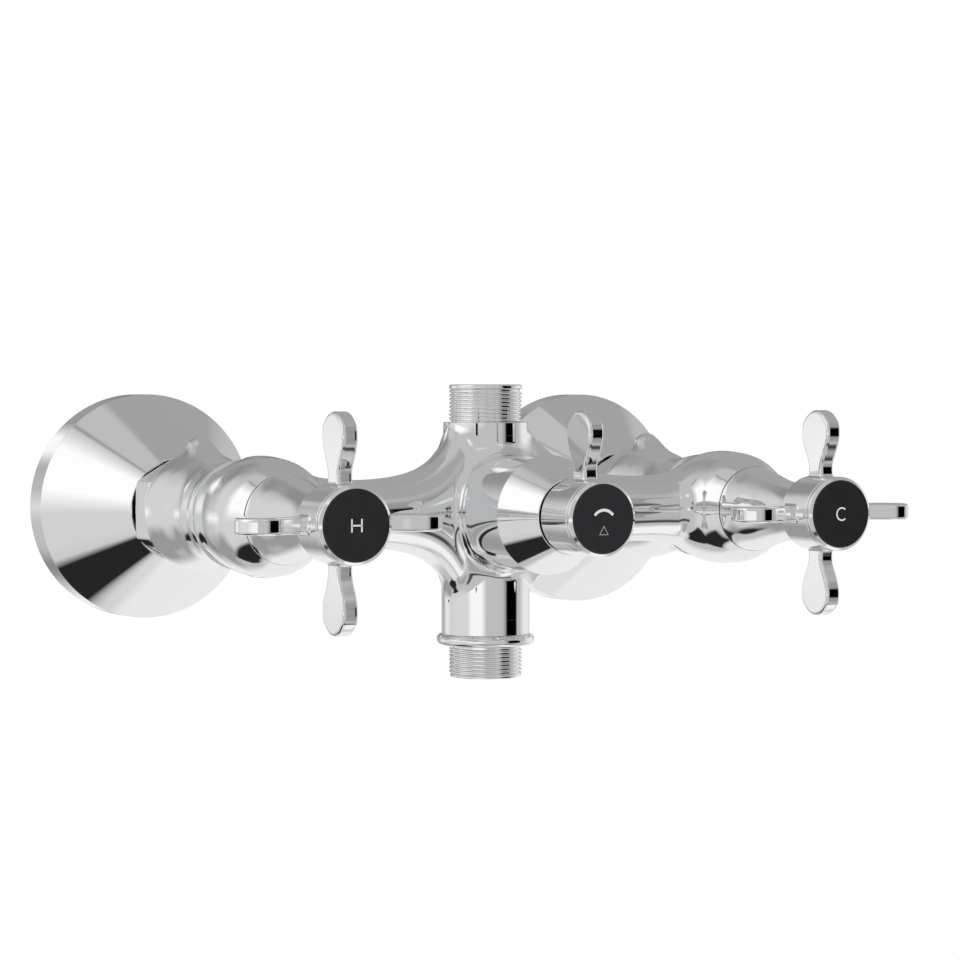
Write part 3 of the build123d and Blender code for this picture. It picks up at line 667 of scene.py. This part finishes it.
def bell_corners(land, front):
    """The bell bonnet: a seam groove, then a hollow neck that narrows to the handle."""
    curve = Curve((
        (land - 3, 13.7), (land, 12.4), (land + 6.5, 10.9),
        (land + 13, 9.3), (land + 19.5, 8.2), (front + 2, BELL_NOSE_R),
    ))
    places = np.linspace(land, front, 40)
    corners = [
        (BONNET_BORE_R, land, 0.1), (BELL_GROOVE_R, land, 0.05), (BELL_GROOVE_R, land + 0.3, 0.05),
        (BELL_RIM_R, land + 0.32, 0.1),
    ]
    corners += [(float(curve(s)), s, 0) for s in places[1:-1]]
    return corners + [
        (BELL_NOSE_R, front, 0.3), (SPINDLE_BORE_R, front, 0.1), (SPINDLE_BORE_R, land + 5, 0.3),
    ]


def cone_corners(land, front):
    """The diverter's bonnet: a crisp rim, a straight cone and a plain front."""
    return (
        (BONNET_BORE_R, land, 0.1), (CONE_RIM_R, land, 0.25), (CONE_RIM_R, land + CONE_RIM, 0.3),
        (CONE_NOSE_R, front, 0.3), (SPINDLE_BORE_R, front, 0.2), (SPINDLE_BORE_R, land + 3, 0.2),
    )


def hub_corners(back, front):
    """The handle's hub, with a shallow pocket behind and a counterbore for the screw."""
    return (
        (HUB_BORE_R, back + 2, 0.1), (HUB_POCKET_R, back + 2, 0.2), (HUB_POCKET_R, back, 0.2),
        (HUB_R, back, 0.45), (HUB_R, front, 0.3), (SCREW_BORE_R, front, 0.1),
        (SCREW_BORE_R, front - 2, 0.1), (HUB_BORE_R, front - 2, 0.1),
    )


def ring_corners(back, front):
    """The bright rim round the cap, with a fine step behind it."""
    seat_r, inner_r, socket_r = HUB_R - RIM_STEP, RIM_BORE_R, CAP_R + CAP_GAP
    return (
        (inner_r, back - 0.3, 0.05), (seat_r, back - 0.3, 0.05), (seat_r, back + 0.12, 0.05),
        (HUB_R, back + 0.15, 0.18), (HUB_R, front - 0.7, 0.45), (socket_r, front, 0.1),
        (socket_r, front - 0.9, 0.05), (inner_r, front - 0.9, 0.05),
    )


def handle_field(x0, middle, ears):
    """Ears and a core just inside the hub, with a small fillet at each root."""

    def field(p):
        x, reach, z = p[:, 0] - x0, -p[:, 1], p[:, 2]
        out, side = z, x
        if ears == 4:
            steep = np.abs(z) > np.abs(x)
            out = np.where(steep, np.abs(z), np.abs(x))
            side = np.where(steep, x, z)
        across = np.abs(reach - middle)
        lobe = np.hypot(across, out - EAR_LOBE) - EAR_LOBE_R
        root = np.maximum(EAR_ROOT - out, 0) * EAR_ROOT_SLOPE
        neck = np.maximum(across - EAR_HALF_NECK - root, out - EAR_LOBE)
        plan = np.maximum(round_union(lobe, neck, EAR_WAIST), -out)
        ear = round_meet(plan, np.abs(side) - EAR_HALF_THICKNESS, EAR_EDGE)
        core = np.hypot(x, z) - HUB_R + PROUD
        core = np.maximum(core, np.abs(reach - middle) - CORE_HALF)
        return round_union(ear, core, EAR_FILLET)

    return field


def make_handle(name, x0, back, face, ears):
    """Hub and ears of one handle."""
    middle = face - EAR_BEHIND
    top, depth = 30, 7.5
    side = top if ears == 4 else 11.5
    low, high = (x0 - side, -middle - depth, -side), (x0 + side, -middle + depth, top)
    ears_piece = cast(name, handle_field(x0, middle, ears), low, high, HANDLE_STEP)
    hub = turned("hub", hub_corners(back, face - HUB_FRONT), on_axis(x0))
    return joined([ears_piece, hub])


# Marks


def ribbon(points, width, place, closed=False):
    """A thin raised line through (across, up) points on a cap's face."""
    path = np.array(points, float)
    ahead = np.roll(path, -1, 0) - path
    if not closed:
        ahead[-1] = ahead[-2]
    ahead /= np.linalg.norm(ahead, axis=1)[:, None]
    behind = np.roll(ahead, 1, 0)
    if not closed:
        behind[0] = ahead[0]
    out = np.stack((ahead[:, 1] + behind[:, 1], -ahead[:, 0] - behind[:, 0]), 1)
    out /= (out**2).sum(1)[:, None] / 2
    x0, face = place
    left, right = path + out * width / 2, path - out * width / 2
    count = len(path)
    vertices = [(x0 + a, -face - lift, b) for lift in (-MARK_SUNK, MARK_PROUD) for a, b in (*left, *right)]
    faces = []
    for i in range(count if closed else count - 1):
        j = (i + 1) % count
        faces += [
            (2 * count + i, 2 * count + j, 3 * count + j, 3 * count + i),
            (i, count + i, count + j, j),
            (i, j, 2 * count + j, 2 * count + i),
            (count + i, 3 * count + i, 3 * count + j, count + j),
        ]
    if not closed:
        for i, turn in ((0, 1), (count - 1, -1)):
            faces.append((i, 2 * count + i, 3 * count + i, count + i)[::turn])
    piece = new_object("mark", vertices, faces)
    piece.data.polygons.foreach_set("use_smooth", np.zeros(len(piece.data.polygons), bool))
    return piece


def arc(centre, radius, start, end, steps=28):
    """Points along an arc, angles in degrees from +X."""
    angles = np.radians(np.linspace(start, end, steps))
    return [(centre[0] + radius * cos(a), centre[1] + radius * sin(a)) for a in angles]


# Finishes


def finish(name, build):
    """A material whose shader a function builds from its tree and shader node."""
    material = bpy.data.materials.new(name)
    material.use_nodes = True
    tree = material.node_tree
    shader = next(n for n in tree.nodes if n.type == "BSDF_PRINCIPLED")
    build(tree, shader)
    return material


def noise(tree, scale):
    """Noise over the object's own coordinates."""
    place = node(tree, "ShaderNodeTexCoord", {}, out=3)
    return node(tree, "ShaderNodeTexNoise", {}, Vector=place, Scale=scale, Detail=2.0)


def tint(tree, share, dark, light):
    """A colour between two, by a share."""
    return node(tree, "ShaderNodeValToRGB", {"stops": ((0.0, (*dark, 1)), (1.0, (*light, 1)))}, share)


def surface(tree, shader, colour, roughness, metallic, bump=None):
    """Links what varies and sets what doesn't."""
    tree.links.new(colour.socket, shader.inputs["Base Color"])
    tree.links.new(roughness.socket, shader.inputs["Roughness"])
    shader.inputs["Metallic"].default_value = metallic
    if bump:
        height, depth = bump
        bumped = node(tree, "ShaderNodeBump", {}, Strength=1.0, Distance=depth, Height=height)
        tree.links.new(bumped.socket, shader.inputs["Normal"])


def mottled(dark, light, rough, spread, scale, bump=None, metallic=0.0, finer=6):
    """A surface with a slight unevenness in colour and polish."""

    def build(tree, shader):
        cloud = noise(tree, scale)
        fine = noise(tree, scale * finer)
        grain = (noise(tree, bump[0]), bump[1]) if bump else None
        surface(tree, shader, tint(tree, cloud, dark, light), rough + spread * fine, metallic, grain)

    return build


def metal(*look):
    """A mottled metal."""
    return mottled(*look, metallic=1.0, finer=9)


BRASS_DARK, BRASS_LIGHT = (0.66, 0.5, 0.24), (0.78, 0.62, 0.34)


def brass_with_painted_gap_shade(tree, shader):
    """Machined brass, darkened to near black by painted shade in the narrow gap between a flange's nose
    and its nut.
    """
    cloud = noise(tree, 300.0)
    fine = noise(tree, 2700.0)
    place = node(tree, "ShaderNodeTexCoord", {}, out=3)
    split = node(tree, "ShaderNodeSeparateXYZ", {}, place)
    away = abs(Maths(tree, split.socket.node.outputs["Y"]) + (FLANGE_NOSE + NUT_BACK) / 2 * MM)
    # Painted shade: the brass colour falls to near black across the gap between the parts, where shade
    # falls
    clear = clamped((away - PAINTED_SHADE_HALF * MM) / (PAINTED_SHADE_SOFT * MM))
    colour = tint(tree, cloud, BRASS_DARK, BRASS_LIGHT)
    colour = node(tree, "ShaderNodeVectorMath", {"operation": "SCALE"}, colour, Scale=clear * 0.98 + 0.02)
    surface(tree, shader, colour, 0.2 + 0.12 * fine, 1.0)


CHROME_LOOK = metal((0.88, 0.885, 0.895), (0.915, 0.92, 0.925), 0.028, 0.02, 40.0)
BRASS_LOOK = metal(BRASS_DARK, BRASS_LIGHT, 0.2, 0.12, 300.0, (4000.0, 2e-6))
RUBBER_LOOK = mottled((0.012, 0.012, 0.012), (0.03, 0.03, 0.03), 0.55, 0.2, 400.0, (3000.0, 5e-6))
CERAMIC_LOOK = mottled((0.82, 0.8, 0.76), (0.9, 0.885, 0.85), 0.12, 0.08, 500.0)
BLACK_LOOK = mottled(
    (0.0085, 0.0088, 0.0095), (0.0115, 0.0118, 0.0125), 0.36, 0.08, 300.0, (6000.0, 1e-6),
)
STEEL_LOOK = metal((0.5, 0.5, 0.5), (0.62, 0.62, 0.62), 0.25, 0.1, 400.0)
BLUE_BLACK_LOOK = mottled((0.015, 0.0152, 0.019), (0.018, 0.0182, 0.022), 0.36, 0.08, 300.0)
WHITE_LOOK = mottled((0.8, 0.8, 0.8), (0.86, 0.86, 0.86), 0.45, 0.1, 500.0)
GREY_LOOK = mottled((0.3, 0.3, 0.31), (0.36, 0.36, 0.37), 0.45, 0.1, 500.0)

FINISHES = {
    "chrome": finish("polished chrome", CHROME_LOOK),
    "brass": finish("machined brass", BRASS_LOOK),
    "rubber": finish("moulded rubber", RUBBER_LOOK),
    "ceramic": finish("lapped ceramic", CERAMIC_LOOK),
    "cap_black": finish("cap lacquer", BLACK_LOOK),
    "steel": finish("plain steel", STEEL_LOOK),
}
# Brass with painted shade in the gap behind each flange's nose
BRASS_WITH_PAINTED_GAP_SHADE = finish("brass with painted gap shade", brass_with_painted_gap_shade)
BLUE_BLACK = finish("blue-black lacquer", BLUE_BLACK_LOOK)
WHITE_PRINT = finish("white print", WHITE_LOOK)
GREY_PRINT = finish("grey print", GREY_LOOK)

for made in frame["record"]["subparts"]:
    shown = frame["nodes"][made["node"]]
    shown.data.materials.clear()
    shown.data.materials.append(FINISHES[made["material_slot"]])


def dress(piece, name, body, slot, *nodes, material=None):
    """Names a finished piece, gives it its finish and its body, and hides what it stands for."""
    piece.name = name
    piece.data.name = name
    piece.data.materials.clear()
    piece.data.materials.append(material or FINISHES[slot])
    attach(piece, body)
    if nodes:
        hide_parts(*nodes)


dress(make_body(), "body_casting", "fixed", "chrome", "body")
chrome, brass = FINISHES["chrome"], FINISHES["brass"]
stub, thread = make_top_nipple(chrome)
dress(stub, "top_outlet_stub", "fixed", "chrome", "top_outlet_nipple")
dress(thread, "top_outlet_thread", "fixed", "chrome")
stub, thread = make_bottom_nipple(chrome)
dress(stub, "bottom_outlet_stub", "fixed", "chrome", "bottom_outlet_nipple")
dress(thread, "bottom_outlet_thread", "fixed", "chrome")

for side, x0 in (("hot", -VALVE_X), ("cold", VALVE_X)):
    stub, thread = make_wall_union(x0, brass)
    # The union stub gets the brass with painted shade in the gap
    dress(stub, f"{side}_union_stub", "fixed", "brass", f"{side}_wall_union", material=BRASS_WITH_PAINTED_GAP_SHADE)
    dress(thread, f"{side}_union_thread", "fixed", "brass")
    dress(make_flange(x0), f"{side}_spun_flange", "fixed", "chrome", f"{side}_flange")
    nut = cast("nut", nut_field(x0), (x0 - 18, -49, -18), (x0 + 18, -35.7, 18), NUT_STEP)
    dress(nut, f"{side}_hex_nut", "fixed", "chrome", f"{side}_union_nut")
    neck = cast("neck", neck_field(x0), (x0 - 19, -83, -19), (x0 + 19, -41, 23), NECK_STEP)
    collar = turned("ring", band(neck_curve, COLLAR_BACK, SEAM - 0.1, (0.02, 0.35), 9.5), on_axis(x0))
    dress(joined([neck, collar]), f"{side}_neck_bulb", "fixed", "chrome", f"{side}_inlet_neck")
    bell = turned("bell", bell_corners(HOUSING_FRONT, BELL_FRONT), on_axis(x0))
    dress(bell, f"{side}_bell_bonnet", "fixed", "chrome", f"{side}_bonnet")

cone = turned("cone", cone_corners(DIVERTER_FRONT, CONE_FRONT), on_axis(0.0))
dress(cone, "diverter_cone_bonnet", "fixed", "chrome", "diverter_bonnet")

for side, x0, back, face, ears, kind in (
    ("hot", -VALVE_X, CROSS_BACK, CROSS_FACE, 4, "cross"),
    ("cold", VALVE_X, CROSS_BACK, CROSS_FACE, 4, "cross"),
    ("diverter", 0.0, LEVER_BACK, LEVER_FACE, 1, "lever"),
):
    body = f"{side}_turn"
    handle = make_handle("handle", x0, back, face, ears)
    dress(handle, f"{side}_{kind}", body, "chrome", f"{side}_handle")
    rim = turned("rim", ring_corners(face - RIM_BACK, face - RIM_FRONT), on_axis(x0))
    dress(rim, f"{side}_bright_rim", body, "chrome", f"{side}_index_ring")
    under = face - CAP_THICKNESS
    disc = ((0.0, under, 0), (CAP_R, under, 0.1), (CAP_R, face, 0.25), (0.0, face, 0))
    cap = turned("cap", disc, on_axis(x0), closed=False)
    lacquer = BLUE_BLACK if side == "diverter" else None
    dress(cap, f"{side}_black_cap", body, "cap_black", f"{side}_index_cap", material=lacquer)

place = (-VALVE_X, CROSS_FACE)
letter = [
    ribbon([(-1.4, -1.7), (-1.4, 1.7)], LETTER_STROKE, place),
    ribbon([(1.4, -1.7), (1.4, 1.7)], LETTER_STROKE, place),
    ribbon([(-1.4, 0.0), (1.4, 0.0)], LETTER_STROKE, place),
]
dress(joined(letter), "hot_letter", "hot_turn", "cap_black", material=WHITE_PRINT)
letter = ribbon(arc((0.15, 0), 1.72, 48, 312), LETTER_STROKE, (VALVE_X, CROSS_FACE))
dress(letter, "cold_letter", "cold_turn", "cap_black", material=WHITE_PRINT)
bow = ribbon(arc((0, -1.2), 3.6, 38, 142), BOW_STROKE, (0.0, LEVER_FACE))
dress(bow, "diverter_bow", "diverter_turn", "cap_black", material=WHITE_PRINT)
wedge = ribbon([(-1.3, -4.2), (1.3, -4.2), (0, -1.9)], WEDGE_STROKE, (0.0, LEVER_FACE), closed=True)
dress(wedge, "diverter_wedge", "diverter_turn", "cap_black", material=GREY_PRINT)


# Studio


FLOOR_HALF, FLOOR_HEIGHT = 4000.0, -300.0


def make_floor():
    """A floor far below: white to the camera, pale to plain light, not mirrored by the chrome."""
    signs = ((-1, -1), (1, -1), (1, 1), (-1, 1))
    corners = [(FLOOR_HALF * a, FLOOR_HALF * b, FLOOR_HEIGHT) for a, b in signs]
    floor = new_object("floor", corners, [(0, 1, 2, 3)])
    material = bpy.data.materials.new("pale floor")
    material.use_nodes = True
    tree = material.node_tree
    shader = next(n for n in tree.nodes if n.type == "BSDF_PRINCIPLED")
    shader.inputs["Base Color"].default_value = (0.86, 0.86, 0.86, 1)
    shader.inputs["Roughness"].default_value = 0.9
    seen = node(tree, "ShaderNodeLightPath", {}, out=0)
    glow = node(tree, "ShaderNodeEmission", {}, (1, 1, 1, 1), 1.0)
    mixed = node(tree, "ShaderNodeMixShader", {}, seen, Maths(tree, shader.outputs[0]), glow)
    output = next(n for n in tree.nodes if n.type == "OUTPUT_MATERIAL")
    tree.links.new(mixed.socket, output.inputs[0])
    floor.data.materials.append(material)
    floor.visible_glossy = False


# Studio boards as seen from the mixer, in degrees: azimuth from straight out of the wall
# (towards the cold side is positive) and height, each with its half width and soft edge,
# then the brightness that polished chrome shows where it mirrors the board.
BOARDS = (
    ("grey ceiling behind", (144, 66, 30), (45, 52, 20), 0.35),
    ("pale left wall", (-115, 43, 22), (-2, 41, 25), 0.63),
    ("white low wall", (-150, 11, 9), (-2, 2.5, 8), 0.95),
    ("dim low corner", (-163, 28, 14), (-31, 13, 10), 0.31),
    ("left softbox", (-96, 23, 17), (27, 24, 18), 0.98),
    ("upper left softbox", (-36, 9, 12), (38, 3, 8), 0.9),
    ("dark edge of the softbox", (-98, 20, 12), (60, 1.2, 2.4), 0.3),
    ("dark corner by the wall", (-176, 16, 12), (34, 13, 18), 0.26),
    ("lamp in the corner", (-172, 6, 7), (17, 4, 4), 0.92),
    ("shade in the corner", (173, 14, 9), (-16, 6, 5), 0.1),
    ("front strip", (-52, 20, 14), (-4, 3, 4), 0.92),
    ("front window", (15, 10, 12), (32, 4, 8), 0.74),
    ("right ceiling", (66, 34, 14), (54, 18, 14), 0.36),
    ("right side", (103, 22, 18), (1, 19, 18), 0.78),
    ("low white behind", (145, 33, 18), (-43, 38, 14), 0.8),
    ("dim wall straight behind", (160, 12, 16), (4, 10, 16), 0.2),
    ("left black board", (-120, 33, 6), (-59, 16, 6), 0.018),
    ("underneath", (0, 200, 10), (-88, 12, 9), 0.72),
    ("white table", (60, 42, 10), (-60, 9, 7), 0.88),
    ("grey table", (-24, 18, 10), (-64, 16, 6), 0.36),
    ("dark edge of the table", (4, 52, 9), (-38, 4, 5), 0.05),
    ("grey round the strip", (38, 17, 10), (2, 30, 10), 0.3),
    ("black strip", (45, 17, 5), (0, 14, 5), 0.0),
)
ROOM_BRIGHTNESS = 0.5
CHROME_SHARE = 0.9
PLAIN_LIGHT = 0.95


def board_share(angle, centre, half, soft):
    """1 on a board, 0 off it, between the two across its soft edge."""
    away = node(angle.tree, "ShaderNodeMath", {"operation": "WRAP"}, angle - centre, 180.0, -180.0)
    return clamped((half - abs(away)) / soft, 0.5)


def make_world():
    """Plain light, white to the camera; polished metal mirrors a grey room with boards."""
    world = bpy.data.worlds.new("studio")
    bpy.context.scene.world = world
    world.use_nodes = True
    tree = world.node_tree
    background = next(n for n in tree.nodes if n.type == "BACKGROUND")
    ahead = node(tree, "ShaderNodeTexCoord", {}, out=0)
    split = node(tree, "ShaderNodeSeparateXYZ", {}, ahead)
    x, y, z = [Maths(tree, split.socket.node.outputs[i]) for i in range(3)]
    turn = node(tree, "ShaderNodeMath", {"operation": "ARCTAN2"}, x, 0.0 - y)
    rise = node(tree, "ShaderNodeMath", {"operation": "ARCSINE"}, z)
    azimuth = turn * (180 / pi)
    height = rise * (180 / pi)
    level = ROOM_BRIGHTNESS / CHROME_SHARE
    for _, across, up, brightness in BOARDS:
        share = board_share(azimuth, *across) * board_share(height, *up)
        level = share * (brightness / CHROME_SHARE - level) + level
    mirrored = node(tree, "ShaderNodeLightPath", {}, out="Is Glossy Ray")
    seen = node(tree, "ShaderNodeLightPath", {}, out="Is Camera Ray")
    shown = mirrored * (level - PLAIN_LIGHT) + PLAIN_LIGHT + seen * (1.0 - PLAIN_LIGHT)
    tree.links.new(shown.socket, background.inputs["Color"])


def make_camera():
    """The photograph's view: slightly from the left and barely downwards."""
    data = bpy.data.cameras.new("camera")
    data.sensor_width = 36.0
    data.lens = 105.25
    data.clip_start = 0.01
    camera = bpy.data.objects.new("camera", data)
    bpy.context.scene.collection.objects.link(camera)
    ahead = Vector((0.4712, 0.8815, -0.0296)).normalized()
    right = Vector((0.8819, -0.4714, 0.0)).normalized()
    up = right.cross(ahead)
    turn = Matrix((right, up, -ahead)).transposed().to_4x4()
    camera.matrix_world = Matrix.Translation(Vector((-0.38344, -0.79810, 0.03273))) @ turn
    bpy.context.scene.camera = camera


make_floor()
make_world()
make_camera()
bpy.context.scene.view_settings.view_transform = "Standard"
